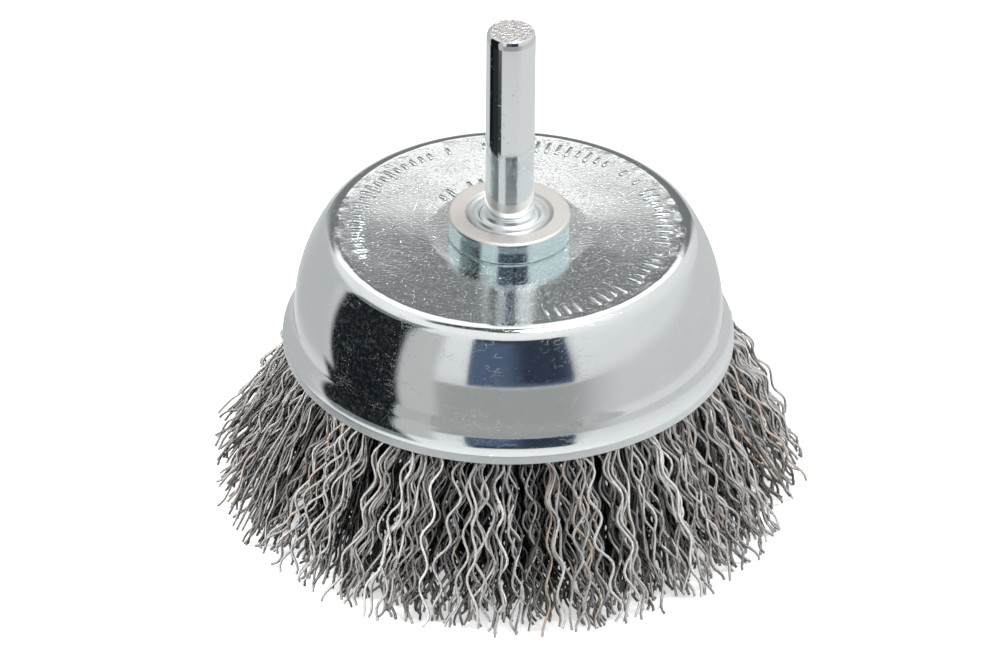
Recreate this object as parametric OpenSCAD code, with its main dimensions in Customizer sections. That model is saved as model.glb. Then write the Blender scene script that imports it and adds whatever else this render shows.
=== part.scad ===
// Crimped wire cup brush on a plain drill shank, in millimetres.
// The wire tips end on the plane z = 0 and the turning axis is the z axis.
// Every wire is a hairpin: it hangs over a core ring inside the cup, with one leg on each side.

/* [Shank] */
// Diameter of the shank that the chuck grips
shank_d = 6; // [5:0.1:8]
// Length of the shank above the collar
shank_l = 25.8; // [15:0.1:40]
// Width of the tapered nose round the sawn end of the shank
nose_w = 0.45; // [0.1:0.05:1]
// Length of that nose
nose_l = 1.05; // [0.2:0.05:2]
// Diameter of the shoulder at the foot of the shank
shoulder_d = 7.25; // [7:0.05:8.5]
// Height of the fillet between shank and shoulder
foot_fillet = 0.6; // [0.3:0.05:1.2]
// Diameter of the stem that runs through the cup
stem_d = 6; // [4:0.1:6.4]

/* [Collar] */
// Outer diameter of the collar
collar_d = 15.15; // [12:0.05:18]
// Height of the collar
collar_h = 2.95; // [2:0.05:5]
// Diameter of the turned dish in the collar's upper face
dish_d = 10.8; // [10.2:0.1:11.6]
// Depth of that dish
dish_depth = 0.35; // [0.1:0.05:0.8]
// Diameter of the lip that is staked round the shank
lip_d = 8.7; // [8.6:0.1:9.6]
// Bevel on the collar's edges
collar_bevel = 0.25; // [0.1:0.05:0.5]

/* [Cup] */
// Thickness of the pressed sheet
sheet = 1; // [0.8:0.05:1.3]
// Height of the cup from its rim to its top
cup_h = 15.85; // [13:0.05:19]
// Outer diameter where the wall stands upright
body_d = 52.9; // [48:0.1:60]
// Radius of the domed wall, seen in section
dome_r = 21.75; // [18:0.05:30]
// Radius between the wall and the flat top
shoulder_r = 2.4; // [1.6:0.1:4]
// Radius of the flare above the rim
flare_r = 3.3; // [2.6:0.1:5]
// How far the rim stands out from the wall
flare_out = 1.4; // [0.8:0.1:2]
// Diameter of the level middle of the top
hub_d = 20; // [18.5:0.1:26]
// Depth of the level middle below the top edge
hub_depth = 0.6; // [0:0.05:0.8]

/* [Inner plate and rivet] */
// Thickness of the plate that traps the wires
plate_sheet = 1; // [0.8:0.05:1.3]
// Bend radius at the top of the skirt
plate_bend = 2; // [1.5:0.1:3]
// Height of the skirt's edge above the cup's rim
skirt_lift = 1.75; // [1:0.05:2.4]
// Diameter of the washer under the rivet head
washer_d = 13.5; // [11:0.1:15]
// Width of the plate's flat that shows round the washer
seat_margin = 0.85; // [0.3:0.05:1.5]
// Thickness of the washer
washer_t = 1.2; // [0.8:0.1:2]
// Diameter of the rivet head on the stem
head_d = 9.5; // [8:0.1:10.5]
// Height of the rivet head
head_h = 2.2; // [1.5:0.1:3]

/* [Wires] */
// Diameter of the brush at the wire tips
brush_d = 75; // [68:0.5:85]
// Diameter of the hollow inside the ring of tips
hollow_d = 37; // [36:0.5:42]
// Free length of wire below the cup's rim
trim_l = 19.45; // [14:0.05:28]
// Diameter of the core ring's rod
core_rod_d = 3; // [2:0.1:4]
// Radial depth of one strand of wires
strand_t = 1.6; // [1.2:0.05:2]
// Number of strands round the ring in each of the two layers
strand_count = 32; // [16:16:64]
// Length of one crimp wave
crimp_wave = 7; // [5:0.5:10]
// Sideways reach of the crimp
crimp_depth = 0.75; // [0.3:0.05:1]
// Greatest difference in length between strands
tip_scatter = 1.5; // [0:0.1:3]
// Depth of the notch that splits the end of a strand
tip_notch = 2; // [0.5:0.1:3]

/* [Fits] */
// Clearance between parts that are pressed together
press_gap = 0.05; // [0.02:0.01:0.1]
// Clearance round the stem in its holes
hole_gap = 0.1; // [0.05:0.05:0.3]
// Clearance between the wires and what holds them
wire_gap = 0.3; // [0.2:0.05:0.5]

/* [Hidden] */
$fn = 96;
sector_count = 16;
layer_count = 2;
sectors = [1 : sector_count];
function sector_name(k) = str("wires_", k < 10 ? "0" : "", k);

// Cup: levels and the centres of its three arcs
body_r = body_d / 2;
rim_r = body_r + flare_out;
flare_x = body_r + flare_r;
flare_drop = sqrt(pow(flare_r + sheet, 2) - pow(flare_x - rim_r, 2));
rim_z = trim_l;
flare_z = rim_z + flare_drop;
dome_x = body_r - dome_r;
cup_top = rim_z + cup_h;
shoulder_z = cup_top - shoulder_r;
shoulder_x = dome_x + sqrt(pow(dome_r - shoulder_r, 2) - pow(shoulder_z - flare_z, 2));
shoulder_turn = atan2(shoulder_z - flare_z, shoulder_x - dome_x);
hub_z = cup_top - hub_depth;
cup_under = hub_z - sheet;

// Hairpins nest in the corner of the cup, one layer over the other, round the core ring
core_r = core_rod_d / 2;
function fold_inner(layer) = core_r + wire_gap + layer * (strand_t + wire_gap);
function fold_outer(layer) = fold_inner(layer) + strand_t;
nest_r = fold_outer(layer_count - 1) + wire_gap;
ring_z = cup_under - nest_r;
ring_x = dome_x + sqrt(pow(dome_r - sheet - nest_r, 2) - pow(ring_z - flare_z, 2));

// Inner plate: from its bend the skirt runs as a cone that just clears the outer layer of hairpins
plate_under = cup_under - plate_sheet;
skirt_z = rim_z + skirt_lift;
bend_z = cup_under - plate_bend;
bend_x = washer_d / 2 + seat_margin;
skirt_angle = 90
    + atan2(ring_z - bend_z, ring_x - bend_x)
    - asin((plate_bend + nest_r) / norm([ring_x - bend_x, ring_z - bend_z]));
skirt_reach = ring_x * cos(skirt_angle) + ring_z * sin(skirt_angle) - nest_r;
function skirt_x(z, depth = 0) = (skirt_reach - depth - z * sin(skirt_angle)) / cos(skirt_angle);

// Where the four legs of the two layers pass the plate's edge, and where they end
throat_in = skirt_x(skirt_z) + wire_gap / cos(skirt_angle);
throat_out = body_r - sheet - wire_gap;
tip_in = hollow_d / 2;
tip_out = brush_d / 2;
last_leg = 2 * layer_count - 1;
function leg_at(near, far, leg) = near + (far - near - strand_t) * leg / last_leg;
function inner_leg(layer) = layer_count - 1 - layer;
function outer_leg(layer) = layer_count + layer;

// Strand width: what fits between its neighbours on the inside of the ring
half_pitch = 180 / strand_count;
half_wave = crimp_wave / 2;
quarter = strand_count / 4;
phase_step = 360 / quarter;
phase_reach = 0.4;
phase_drift = 4 * crimp_depth * phase_reach * sin(phase_step / 2);
function room_at(radius) = 2 * radius * tan(half_pitch) - wire_gap;
width_at_fold = room_at(ring_x - fold_outer(layer_count - 1));
width_at_throat = min(width_at_fold * 1.2, room_at(throat_in) - phase_drift);
width_at_tip = min(width_at_fold * 1.3, room_at(tip_in) - phase_drift);

// Pattern of the strands, which comes round again in each quarter of the ring
fold_steps = 4;
tip_seed = 12;
tip_pattern = rands(0.25, 1, quarter, tip_seed);
full_length_every = 3;
function tip_z(strand) =
    let (i = strand % quarter)
    i % full_length_every == 0 ? 0 : tip_scatter * tip_pattern[i];
function crimp_phase(strand) = 0.5 + phase_reach * sin(phase_step * strand);

// Points along an arc in the plane of a section
function arc(centre, radius, start, end, steps) =
    [for (i = [0 : steps])
        let (a = start + (end - start) * i / steps)
        centre + radius * [cos(a), sin(a)]];

// Straight blend between two values
function blend(a, b, share) = a + (b - a) * share;

// One face of the sheet that the cup is pressed from; depth 0 is the outer face
function cup_face(depth) =
    let (flare_turn = acos((flare_x - rim_r) / (flare_r + depth)))
    concat(
        [[hub_d / 2, hub_z - depth]],
        arc([shoulder_x, shoulder_z], shoulder_r - depth, 90, shoulder_turn, 6),
        arc([dome_x, flare_z], dome_r - depth, shoulder_turn, 0, 8),
        arc([flare_x, flare_z], flare_r + depth, 180, 180 + flare_turn, 6));

function reversed(points) = [for (i = [len(points) - 1 : -1 : 0]) points[i]];

module cup() {
    hole_r = stem_d / 2 + hole_gap;
    color("silver")
        rotate_extrude()
            polygon(concat(
                [[hole_r, hub_z]],
                cup_face(0),
                reversed(cup_face(sheet)),
                [[hole_r, cup_under]]));
}

module inner_plate() {
    hole_r = stem_d / 2 + hole_gap;
    color("silver")
        rotate_extrude()
            polygon(concat(
                [[hole_r, cup_under]],
                arc([bend_x, bend_z], plate_bend, 90, skirt_angle, 5),
                [[skirt_x(skirt_z), skirt_z], [skirt_x(skirt_z, plate_sheet), skirt_z]],
                reversed(arc([bend_x, bend_z], plate_bend - plate_sheet, 90, skirt_angle, 5)),
                [[hole_r, plate_under]]));
}

module washer() {
    bevel = washer_t / 6;
    color("gray")
        translate([0, 0, plate_under - washer_t])
            difference() {
                union() {
                    cylinder(d1 = washer_d - 2 * bevel, d2 = washer_d, h = bevel);
                    translate([0, 0, bevel])
                        cylinder(d = washer_d, h = washer_t - bevel);
                }
                translate([0, 0, -1])
                    cylinder(d = stem_d + 2 * hole_gap, h = washer_t + 2);
            }
}

module core_ring() {
    color("dimgray")
        rotate_extrude()
            translate([ring_x, ring_z])
                circle(r = core_r);
}

// Shank, shoulder, stem and rivet head are one turned piece, with its head peened over
module shank() {
    shank_r = shank_d / 2;
    top_z = hub_z + collar_h + shank_l;
    shoulder_top = hub_z + collar_h - dish_depth;
    head_top = plate_under - washer_t;
    edge_h = head_h / 4;
    peen_h = head_h - edge_h;
    peen_r = (pow(head_d / 2, 2) + pow(peen_h, 2)) / (2 * peen_h);
    peen_turn = asin(head_d / 2 / peen_r);
    foot_w = shoulder_d / 2 - shank_r;
    color("gainsboro")
        rotate_extrude()
            polygon(concat(
                arc([0, head_top - head_h + peen_r], peen_r, -90, -90 + peen_turn, 5),
                [[head_d / 2, head_top],
                 [stem_d / 2, head_top],
                 [stem_d / 2, hub_z],
                 [shoulder_d / 2, hub_z],
                 [shoulder_d / 2, shoulder_top],
                 [shank_r + foot_w / 3, shoulder_top + foot_fillet / 3],
                 [shank_r, shoulder_top + foot_fillet],
                 [shank_r, top_z - nose_l],
                 [shank_r - nose_w / 3, top_z - nose_l / 3],
                 [shank_r - nose_w, top_z],
                 [0, top_z]]));
}

module collar() {
    bore_r = shoulder_d / 2 + press_gap;
    top_z = hub_z + collar_h;
    dish_z = top_z - dish_depth;
    lip_r = lip_d / 2;
    lip_w = (lip_r - bore_r) / 3;
    color("lightgray")
        rotate_extrude()
            polygon([
                [bore_r, hub_z],
                [collar_d / 2 - collar_bevel, hub_z],
                [collar_d / 2, hub_z + collar_bevel],
                [collar_d / 2, top_z - collar_bevel],
                [collar_d / 2 - collar_bevel, top_z],
                [dish_d / 2, top_z],
                [blend(dish_d / 2, lip_r, 0.4), dish_z],
                [lip_r, dish_z],
                [lip_r - lip_w, top_z],
                [bore_r + lip_w, top_z],
                [bore_r, dish_z]]);
}

// Section of a hairpin in the plane through the axis: down, over the core ring and down again
module hairpin_section(layer, tip) {
    ring = [ring_x, ring_z];
    throat_near = leg_at(throat_in, throat_out, inner_leg(layer));
    throat_far = leg_at(throat_in, throat_out, outer_leg(layer));
    tip_near = leg_at(tip_in, tip_out, inner_leg(layer));
    tip_far = leg_at(tip_in, tip_out, outer_leg(layer));
    share = tip / skirt_z;
    end_near = blend(tip_near, throat_near, share);
    end_far = blend(tip_far, throat_far, share);
    polygon(concat(
        [[end_far + strand_t, tip], [throat_far + strand_t, skirt_z]],
        arc(ring, fold_outer(layer), 0, 180, fold_steps),
        [[throat_near, skirt_z],
         [end_near, tip],
         [end_near + strand_t, tip],
         [throat_near + strand_t, skirt_z]],
        arc(ring, fold_inner(layer), 180, 0, fold_steps),
        [[throat_far, skirt_z], [end_far, tip]]));
}

// The strand seen along the radius: a ribbon that is crimped below the throat and straight above
module crimped_ribbon(tip, phase) {
    crests = [for (i = [0 : ceil(skirt_z / half_wave)])
        let (
            z = (i + phase) * half_wave,
            depth = crimp_depth * min(1, (skirt_z - z) / crimp_wave))
        if (z > tip + half_wave / 20 && z < skirt_z - half_wave / 4)
            [(i % 2 == 0 ? 1 : -1) * depth, z]];
    end_y = crests[0][0] * (1 - 2 * (crests[0][1] - tip) / half_wave);
    middle = concat([[end_y, tip]], crests, [[0, skirt_z], [0, cup_top]]);
    function half_width(z) =
        z < skirt_z
            ? blend(width_at_tip, width_at_throat, z / skirt_z) / 2
            : blend(width_at_throat, width_at_fold, (z - skirt_z) / (ring_z - skirt_z)) / 2;
    polygon(concat(
        [[end_y, tip + tip_notch]],
        [for (p = middle) [p[0] + half_width(p[1]), p[1]]],
        reversed([for (p = middle) [p[0] - half_width(p[1]), p[1]]])));
}

module hairpin(layer, tip, phase) {
    intersection() {
        rotate([90, 0, 0])
            linear_extrude(height = 4 * width_at_tip, center = true)
                hairpin_section(layer, tip);
        rotate([90, 0, 90])
            linear_extrude(height = brush_d)
                crimped_ribbon(tip, phase);
    }
}

// One sector of the filling: neighbouring hairpins of both layers, one layer between the other
module wire_sector(k) {
    strands = strand_count / sector_count;
    color("dimgray")
        for (i = [0 : strands - 1], layer = [0 : layer_count - 1])
            let (
                strand = (k - 1) * strands + i,
                turn = (strand + layer / layer_count) * 360 / strand_count)
            rotate([0, 0, turn])
                hairpin(layer, tip_z(strand + layer), crimp_phase(strand + 2 * layer));
}

shank();
collar();
cup();
inner_plate();
core_ring();
washer();
for (k = sectors)
    wire_sector(k);
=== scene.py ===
# %% [markdown]
# A crimped wire cup brush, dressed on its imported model. The brush is a plated cup of pressed sheet
# with a turned collar and shank on top and some two thousand crimped steel wires below.
# Everything bright on it is metal, so most of its look comes from two things: what the metal
# mirrors, and how finely its surface breaks that mirror image up.
# This file is read from top to bottom: first the frame and the camera, then the surroundings,
# the finishes, and one step for each piece.

from math import acos, asin, atan2, cos, degrees, hypot, pi, radians, sin, sqrt, tan

import bmesh
import bpy
from mathutils import Matrix, Vector


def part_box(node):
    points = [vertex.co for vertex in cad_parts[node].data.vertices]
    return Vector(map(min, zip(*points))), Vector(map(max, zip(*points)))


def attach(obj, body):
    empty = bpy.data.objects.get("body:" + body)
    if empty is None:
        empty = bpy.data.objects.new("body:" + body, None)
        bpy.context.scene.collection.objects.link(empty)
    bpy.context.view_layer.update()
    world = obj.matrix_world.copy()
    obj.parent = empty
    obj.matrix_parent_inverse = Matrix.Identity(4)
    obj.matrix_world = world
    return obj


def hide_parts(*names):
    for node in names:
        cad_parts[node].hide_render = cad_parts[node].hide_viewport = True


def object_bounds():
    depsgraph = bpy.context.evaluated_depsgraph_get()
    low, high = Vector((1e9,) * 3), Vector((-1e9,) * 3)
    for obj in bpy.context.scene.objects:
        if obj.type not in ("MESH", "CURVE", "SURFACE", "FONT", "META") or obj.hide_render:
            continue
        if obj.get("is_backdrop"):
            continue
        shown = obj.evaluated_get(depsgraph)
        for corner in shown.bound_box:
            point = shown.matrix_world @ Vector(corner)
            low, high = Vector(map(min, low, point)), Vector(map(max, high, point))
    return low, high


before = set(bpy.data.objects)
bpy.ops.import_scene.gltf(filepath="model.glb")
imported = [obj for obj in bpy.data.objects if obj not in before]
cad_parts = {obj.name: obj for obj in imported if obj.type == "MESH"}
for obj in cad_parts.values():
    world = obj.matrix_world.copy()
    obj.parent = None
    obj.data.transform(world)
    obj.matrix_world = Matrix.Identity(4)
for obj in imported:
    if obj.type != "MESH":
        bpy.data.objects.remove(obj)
cad_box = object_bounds()
MM = 0.001
print("frame:", len(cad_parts), "nodes")

# %% [markdown]
# The sizes below are the brush's own, in millimetres, with z = 0 at the wire tips. The heights of
# the pieces are not typed in again: they are read from the frame, so a change in the model
# carries the dressed pieces with it.

# %% Sizes of the brush
cup_low, cup_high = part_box("cup")
collar_low, collar_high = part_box("collar")
shank_low, shank_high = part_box("shank")
plate_low, plate_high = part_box("inner_plate")
ring_low, ring_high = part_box("core_ring")

RIM_R = cup_high[0] / MM
RIM_Z = cup_low[2] / MM
CUP_TOP = cup_high[2] / MM
COLLAR_R = collar_high[0] / MM
COLLAR_Z = collar_low[2] / MM
COLLAR_TOP = collar_high[2] / MM
SHANK_TOP = shank_high[2] / MM
PLATE_R = plate_high[0] / MM
PLATE_Z = plate_low[2] / MM
CORE_R = (ring_high[2] - ring_low[2]) / 2 / MM
RING_R = ring_high[0] / MM - CORE_R
RING_Z = ring_low[2] / MM + CORE_R
BRUSH_R = cad_box[1][0] / MM
print(f"rim {RIM_R:.2f} at {RIM_Z:.2f}, top {CUP_TOP:.2f}, collar {COLLAR_R:.2f}, ring {RING_R:.2f}")

# %% [markdown]
# The photograph was taken with a long lens from about a third of the way up, with the shank leaning
# a hair to the right. The camera stands where the ellipses of the rim, the top and the collar say:
# a distance, a height angle and a small roll. It looks at the point on the axis in the plane
# of the cup's top, and is then turned a little so that this point lands where the photograph has it.

# %% Camera
IMAGE_W, IMAGE_H = 1000, 666
CAMERA_DISTANCE = 798.0
CAMERA_HEIGHT_DEG = 33.2
CAMERA_ROLL_DEG = 0.55
FOCAL_PX = 6532.0
AXIS_POINT_PX = (509.3, 227.5)
SENSOR_MM = 36.0


def place_camera():
    height = radians(CAMERA_HEIGHT_DEG)
    roll = radians(CAMERA_ROLL_DEG)
    target = Vector((0, 0, CUP_TOP))
    back = Vector((0, -cos(height), sin(height)))
    level, rise = Vector((1, 0, 0)), Vector((0, sin(height), cos(height)))
    right = level * cos(roll) + rise * sin(roll)
    up = rise * cos(roll) - level * sin(roll)
    off_x = (AXIS_POINT_PX[0] - IMAGE_W / 2) / FOCAL_PX
    off_y = (IMAGE_H / 2 - AXIS_POINT_PX[1]) / FOCAL_PX
    ahead = (-back - right * off_x - up * off_y).normalized()
    right = ahead.cross(up).normalized()
    up = right.cross(ahead)
    data = bpy.data.cameras.new("camera")
    data.sensor_width = SENSOR_MM
    data.lens = FOCAL_PX / IMAGE_W * SENSOR_MM
    data.clip_start, data.clip_end = 0.05, 20
    camera = bpy.data.objects.new("camera", data)
    bpy.context.scene.collection.objects.link(camera)
    turn = Matrix((right, up, -ahead)).transposed().to_4x4()
    camera.matrix_world = Matrix.Translation((target + back * CAMERA_DISTANCE) * MM) @ turn
    bpy.context.scene.camera = camera
    return camera


camera = place_camera()
bpy.context.scene.view_settings.view_transform = "Standard"
print(f"camera: {camera.data.lens:.0f} mm lens, {CAMERA_DISTANCE:.0f} mm away")

# %% [markdown]
# Nodes are wired up in code all through this file, so a few short helpers make that readable.
# A Graph adds nodes to one tree. Its math, smooth and mix calls take numbers or sockets and return
# the socket that holds the result, so a formula in code looks like a formula on paper.

# %% Node helpers


class Graph:
    def __init__(self, tree):
        self.tree = tree
        self.geometry = tree.bl_idname == "GeometryNodeTree"

    def node(self, kind, **settings):
        made = self.tree.nodes.new(kind)
        for key, value in settings.items():
            setattr(made, key, value)
        return made

    def put(self, socket, value):
        if isinstance(value, bpy.types.NodeSocket):
            self.tree.links.new(value, socket)
        elif value is not None:
            socket.default_value = value

    def math(self, operation, a, b=None, c=None):
        node = self.node("ShaderNodeMath", operation=operation)
        for socket, value in zip(node.inputs, (a, b, c)):
            self.put(socket, value)
        return node.outputs[0]

    def add(self, a, b):
        return self.math("ADD", a, b)

    def sub(self, a, b):
        return self.math("SUBTRACT", a, b)

    def mul(self, a, b):
        return self.math("MULTIPLY", a, b)

    def lerp(self, a, b, share):
        return self.add(a, self.mul(self.sub(b, a), share))

    def smooth(self, value, start, end, low=0.0, high=1.0):
        """A soft step: low before start, high after end."""
        node = self.node("ShaderNodeMapRange", interpolation_type="SMOOTHSTEP")
        for name, given in zip(("Value", "From Min", "From Max", "To Min", "To Max"),
                               (value, start, end, low, high)):
            self.put(node.inputs[name], given)
        return node.outputs["Result"]

    def mix(self, share, a, b):
        """Blend of two colours."""
        node = self.node("ShaderNodeMix", data_type="RGBA")
        self.put(node.inputs["Factor"], share)
        self.put(node.inputs[6], a)
        self.put(node.inputs[7], b)
        return node.outputs[2]

    def split(self, vector):
        node = self.node("ShaderNodeSeparateXYZ")
        self.put(node.inputs[0], vector)
        return node.outputs

    def join(self, x, y, z):
        node = self.node("ShaderNodeCombineXYZ")
        for socket, value in zip(node.inputs, (x, y, z)):
            self.put(socket, value)
        return node.outputs[0]


# %% [markdown]
# A mirror shows the room. In the photograph the cup mirrors a white studio with a few dark things
# in it: the camera straight ahead, a tall black flag to the left, and a low grey wall behind.
# These could be real cards round the brush. They are painted into the sky instead, where a card is
# just a range of compass angle and height angle, with a soft edge. Only mirror rays see them: the
# camera sees plain white, and the light that falls on the floor is even.
# The upright shank mirrors what is a little lower than the wall does, so the flag has a foot of its
# own for it, a little further to the right.

# %% Surroundings
# Each card: compass angles from the camera's side (to the right is positive), height angles,
# softness of the two kinds of edge in degrees, the grey that it shows, and the slope of its top
SKY_LEVELS = ((-42, 1.2), (-36, 0.73), (-31.6, 0.73), (-28, 0.61), (-6, 0.62), (6, 0.75), (40, 0.84), (62, 0.94))
CARDS = (
    ("beam overhead", (-200, 200), (84, 95), (2, 3), (0.06, 0.065, 0.07), 0),
    ("wall on the left", (-155, -104), (-31, 30), (24, 12), (0.50, 0.51, 0.51), 0),
    ("table in front", (-44, 44), (-31.2, -3), (36, 1.5), (0.34, 0.35, 0.345), 0),
    ("wall left of the camera", (-62, -36), (-31, 31), (6, 5), (0.51, 0.52, 0.515), 0),
    ("camera", (-21, 33), (-2, 40), (2, 2), (0.075, 0.11, 0.18), 0),
    ("camera's dark side", (4, 32), (0, 40), (14, 4), (0.025, 0.035, 0.06), 0),
    ("camera's dark top", (-19, 35), (30, 40), (4, 6), (0.03, 0.04, 0.06), 0),
    ("grey above the black flag", (-104, -54), (22, 52), (7, 8), (0.20, 0.22, 0.225), 0.3),
    ("black flag", (-103, -57), (-31.2, 37), (5, 2), (0.006, 0.009, 0.012), 0.3),
    ("spread foot of the flag", (-112, -60), (-38, -28), (6, 4), (0.006, 0.009, 0.012), 0),
    ("foot of the flag", (-89, -42), (-38, -31.2), (3, 1), (0.022, 0.028, 0.032), 0),
)
# The grey wall behind: half its width, its foot, softness, grey and top, and the light above it
BACK_HALF, BACK_FOOT, BACK_SOFT = 28, 2, 4
BACK_GREY = (0.18, 0.19, 0.195)
BACK_TOP = 34.8
BEAM_GREY = (0.06, 0.065, 0.07)
BACK_LIGHT_TOP, BACK_LIGHT = 68, (1.22, 1.21, 1.19)


def paint_sky():
    world = bpy.data.worlds.new("studio")
    bpy.context.scene.world = world
    world.use_nodes = True
    g = Graph(world.node_tree)
    world.node_tree.nodes.clear()
    way = g.node("ShaderNodeTexCoord").outputs["Generated"]
    x, y, z = g.split(way)
    compass = g.mul(g.math("ARCTAN2", x, g.mul(y, -1.0)), 180 / pi)
    height = g.mul(g.math("ARCSINE", z), 180 / pi)
    level = SKY_LEVELS[0][1]
    for (low, before), (high, after) in zip(SKY_LEVELS, SKY_LEVELS[1:]):
        level = g.add(level, g.smooth(height, low, high, 0.0, after - before))
    colour = g.join(g.mul(level, 0.985), level, level)

    def window(value, limits, soft):
        """1 between the limits, 0 outside them, with a soft edge."""
        low, high = limits
        return g.mul(g.smooth(value, low - soft / 2, low + soft / 2),
                     g.smooth(value, high - soft / 2, high + soft / 2, 1.0, 0.0))

    behind = g.mul(g.math("ARCTAN2", x, y), 180 / pi)
    wide = window(behind, (-BACK_HALF, BACK_HALF), BACK_HALF / 3)
    beam = g.mul(window(behind, (-80, 80), 30), window(height, (BACK_LIGHT_TOP, 95), 3))
    colour = g.mix(beam, colour, (*BEAM_GREY, 1.0))
    light = g.mul(wide, window(height, (BACK_TOP, BACK_LIGHT_TOP), BACK_SOFT))
    colour = g.mix(light, colour, (*BACK_LIGHT, 1.0))
    dark = g.mul(wide, window(height, (BACK_FOOT, BACK_TOP), BACK_SOFT))
    colour = g.mix(dark, colour, (*BACK_GREY, 1.0))
    for name, sides, (foot, top), soft, grey, slope in CARDS:
        above = g.smooth(height, foot - soft[1] / 2, foot + soft[1] / 2)
        tilted = g.sub(height, g.mul(g.sub(compass, sides[1]), slope))
        below = g.smooth(tilted, top - soft[1] / 2, top + soft[1] / 2, 1.0, 0.0)
        card = g.mul(window(compass, sides, soft[0]), g.mul(above, below))
        colour = g.mix(card, colour, (*grey, 1.0))
    rays = g.node("ShaderNodeLightPath")
    plain = g.mix(rays.outputs["Is Glossy Ray"], (1.0, 1.0, 1.0, 1.0), colour)
    background = g.node("ShaderNodeBackground")
    g.put(background.inputs["Color"], plain)
    g.put(background.inputs["Strength"], 1.0)
    output = g.node("ShaderNodeOutputWorld")
    g.put(output.inputs["Surface"], background.outputs[0])
    return len(CARDS) + 3


print("sky:", paint_sky(), "cards")

# %% [markdown]
# The brush stands on a plain pale floor. The floor takes the brush's soft shadow but isn't
# mirrored in the metal, because the sky already holds what the lower half of the cup shows. The
# camera sees the floor's own shading thinned with white, as on a lit table. One wide lamp above
# gives the shadow its direction and the wires their glints, and two larger ones brighten the sides.
# Mirror rays need two more things that the sky can't give them, since they depend on height: a
# dark disc under the wires, where the floor lies in the brush's own shade, and mats on the floor
# that only the foot of the wall looks down on. The grey mat in front is painted shade: the floor close
# to the brush, in the brush's own shadow. The flare shows the sky's cards a second time, small
# and turned over, and that image is its dark crescent.

# %% Floor and lamp
FLOOR_SIZE = 4.0
FLOOR_GREY = 0.93
FLOOR_GLOW = 0.55
SHADE_R = 40.0
SHADE_DEPTH = 0.2
SHADE_GREY = 0.03
# Mats on the floor: first and last compass angle, where the taper starts, and colour
MAT_NEAR_R, MAT_FAR_R, MAT_LIFT = 50, 71.5, 0.1
MATS = (
    ("black_mat", (-49, -88), 0.7, (0.006, 0.009, 0.012)),
    ("pale_mat", (-49, -32), 1.0, (0.45, 0.46, 0.455)),
    # Painted shade: the floor close in front of the brush, in the brush's own shadow
    ("painted_shade_mat", (-32, 32), 1.0, (0.36, 0.37, 0.365)),
    ("right_mat", (32, 60), 0.3, (0.47, 0.48, 0.475)),
)
# Lamps: name, size and place in metres, power in watts, and whether the metal mirrors it
LAMPS = (
    ("wide_lamp", 0.3, (0.20, 0.10, 1.0), 8.0, True),
    ("left_lamp", 0.5, (-0.9, 0.05, 0.42), 45.0, False),
    ("right_lamp", 0.5, (0.9, 0.1, 0.42), 13.0, False),
)


def make_floor():
    mesh = bpy.data.meshes.new("floor")
    half = FLOOR_SIZE / 2
    mesh.from_pydata([(-half, -half, 0), (half, -half, 0), (half, half, 0), (-half, half, 0)],
                     [], [(0, 1, 2, 3)])
    floor = bpy.data.objects.new("floor", mesh)
    bpy.context.scene.collection.objects.link(floor)
    material = bpy.data.materials.new("pale_floor")
    material.use_nodes = True
    g = Graph(material.node_tree)
    shader = material.node_tree.nodes["Principled BSDF"]
    shader.inputs["Base Color"].default_value = (FLOOR_GREY, FLOOR_GREY, FLOOR_GREY, 1)
    shader.inputs["Roughness"].default_value = 0.9
    shader.inputs["Specular IOR Level"].default_value = 0.0
    glow = g.node("ShaderNodeEmission")
    rays = g.node("ShaderNodeLightPath")
    seen = g.math("MAXIMUM", rays.outputs["Is Camera Ray"], rays.outputs["Is Transmission Ray"])
    thin = g.node("ShaderNodeMixShader")
    g.put(thin.inputs[0], g.mul(seen, FLOOR_GLOW))
    g.put(thin.inputs[1], shader.outputs[0])
    g.put(thin.inputs[2], glow.outputs[0])
    g.put(material.node_tree.nodes["Material Output"].inputs["Surface"], thin.outputs[0])
    mesh.materials.append(material)
    floor.visible_glossy = False
    floor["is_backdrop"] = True
    return floor


def make_lamp(name, size, place, watts, mirrored):
    data = bpy.data.lights.new(name, "AREA")
    data.shape = "DISK"
    data.size = size
    data.energy = watts
    lamp = bpy.data.objects.new(name, data)
    lamp.location = place
    lamp.rotation_euler = (-Vector(place)).to_track_quat("-Z", "Y").to_euler()
    lamp.visible_glossy = mirrored
    bpy.context.scene.collection.objects.link(lamp)


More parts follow.
